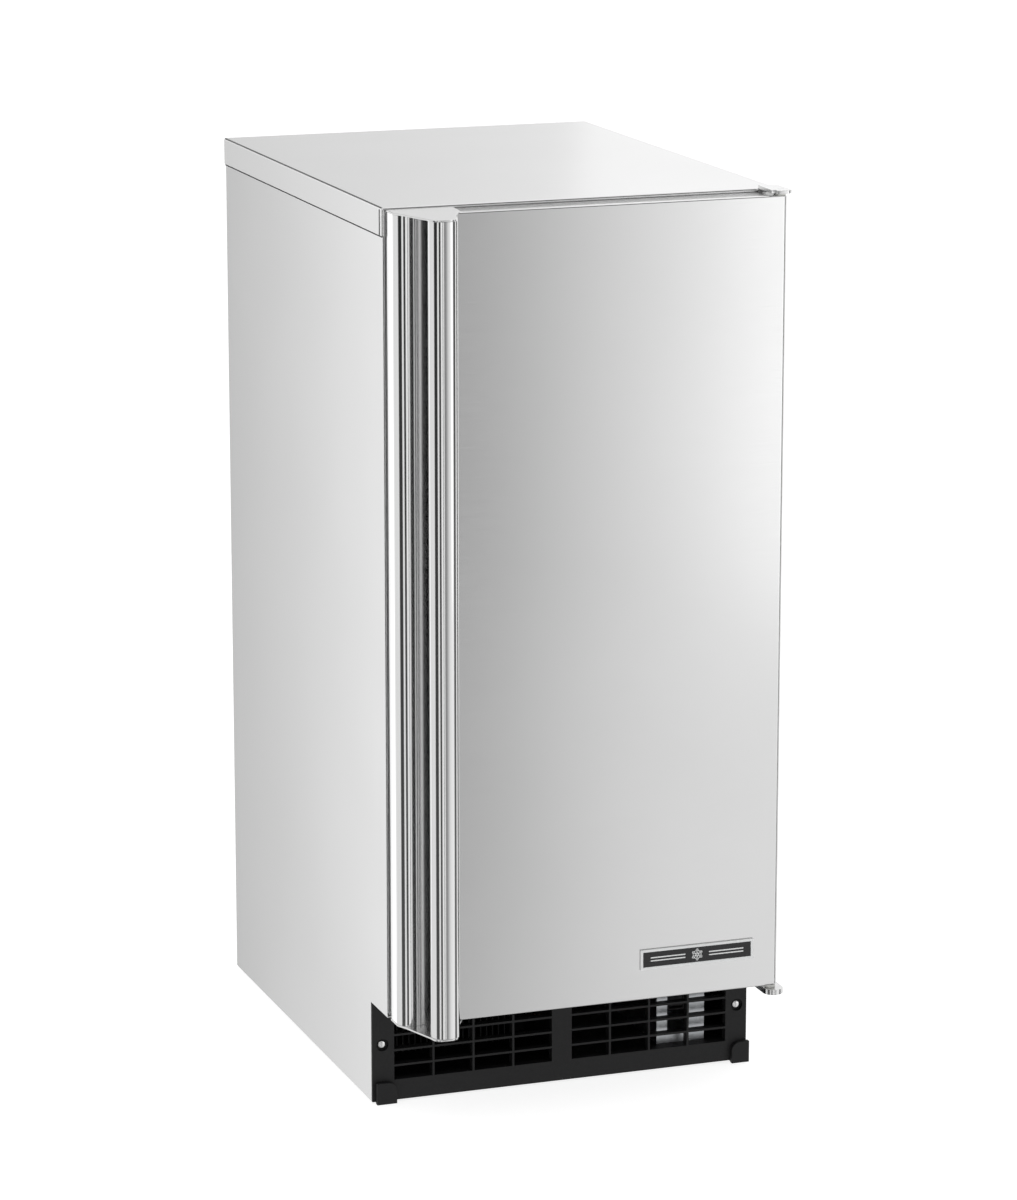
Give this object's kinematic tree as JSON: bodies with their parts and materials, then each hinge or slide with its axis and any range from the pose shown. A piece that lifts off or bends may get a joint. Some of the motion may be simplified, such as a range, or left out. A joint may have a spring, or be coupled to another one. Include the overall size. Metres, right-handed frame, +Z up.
{
  "type": "undercounter ice maker",
  "caption": "Free-standing undercounter cube ice maker with a full-height insulated steel door, a rolled full-height pull, a toe-space air grille and its cooling and ice-making parts.",
  "frame": {"origin": "on the floor under the middle of the whole machine's footprint", "axes": "+Z up, the door faces -Y, the door's hinges are on the +X side"},
  "size_m": [0.3833, 0.5762, 0.8534],
  "materials": {
    "stainless": "fine brushed, satin",
    "cabinet_steel": "fine satin",
    "polished_stainless": "polished",
    "badge_black": "gloss",
    "black_plastic": "fine moulded grain",
    "galvanised": "galvanised sheet",
    "zinc_screws": "bright zinc",
    "white_plastic": "smooth moulded",
    "clear_scoop": "smooth moulded",
    "curtain_vinyl": "smooth, slightly milky",
    "foam": "open foam",
    "gasket_rubber": "matt",
    "nylon": "smooth",
    "copper": "drawn tube",
    "supply_hose": "smooth hose",
    "black_paint": "satin",
    "valve_metal": "machined",
    "nickel": "nickel plate"
  },
  "bodies": {
    "cabinet": {"top_panel": "stainless", "hinge_bracket_top": "stainless", "hinge_bracket_bottom": "stainless", "curtain_rod": "stainless", "side_panel_left": "cabinet_steel", "side_panel_right": "cabinet_steel", "grille": "black_plastic", "feet": "black_plastic", "power_switch_housing": "black_plastic", "cord_gland": "black_plastic", "compressor_terminal_cover": "black_plastic", "drain_fitting": "black_plastic", "rear_panel": "galvanised", "rear_service_panel": "galvanised", "kick_rail": "galvanised", "control_box": "galvanised", "evaporator_hangers": "galvanised", "panel_screws": "zinc_screws", "grille_screws": "zinc_screws", "hinge_pins": "zinc_screws", "bin_liner": "white_plastic", "front_frame": "white_plastic", "scoop_holder": "white_plastic", "water_tank": "white_plastic", "cube_guide": "white_plastic", "spray_bar": "white_plastic", "bin_insulation": "foam", "compressor_grommets": "gasket_rubber", "drain_pipe": "gasket_rubber", "refrigerant_lines": "copper", "filter_drier": "copper", "evaporator_coil": "copper", "bin_thermostat_bulb": "copper", "water_supply_pipe": "supply_hose", "compressor_shell": "black_paint", "fan_motor": "black_paint", "water_pump": "black_paint", "base_pan": "black_paint", "air_divider": "black_paint", "fan_shroud": "black_paint", "condenser_fins": "black_paint", "condenser_tubes": "black_paint", "hot_gas_valve": "valve_metal", "water_inlet_valve": "valve_metal", "evaporator_plate": "nickel"},
    "door": {"door_outer_panel": "stainless", "door_foam": "foam", "door_liner": "white_plastic", "door_gasket": "gasket_rubber", "door_bushes": "nylon", "handle_grip": "polished_stainless", "handle_end_caps": "polished_stainless", "badge_rim": "polished_stainless", "badge_plate": "badge_black"},
    "fan": {"fan_blade": "black_plastic"},
    "pump_rotor": {"pump_impeller": "white_plastic"},
    "curtain": {"splash_curtain": "curtain_vinyl"},
    "scoop": {"ice_scoop": "clear_scoop"},
    "switch": {"power_rocker": "black_plastic"}
  },
  "joints": [
    {"name": "door_hinge", "type": "hinge", "parent": "cabinet", "child": "door", "pos_m": [0.182, -0.2335, 0.474], "axis": [0, 0, 1], "range_deg": [0, 105]},
    {"name": "fan_spin", "type": "hinge", "parent": "cabinet", "child": "fan", "pos_m": [-0.092, -0.0535, 0.1215], "axis": [0, 1, 0], "continuous": true},
    {"name": "pump_spin", "type": "hinge", "parent": "cabinet", "child": "pump_rotor", "pos_m": [0.1, 0.2015, 0.62], "axis": [0, 0, 1], "continuous": true},
    {"name": "curtain_swing", "type": "hinge", "parent": "cabinet", "child": "curtain", "pos_m": [0, -0.1145, 0.728], "axis": [-1, 0, 0], "range_deg": [0, 55]},
    {"name": "scoop_lift", "type": "slide", "parent": "cabinet", "child": "scoop", "axis": [0, 0, 1], "range_m": [0, 0.1]},
    {"name": "power_rock", "type": "hinge", "parent": "cabinet", "child": "switch", "pos_m": [0.12225, -0.1375, 0.066], "axis": [1, 0, 0], "range_deg": [0, 14]}
  ]
}
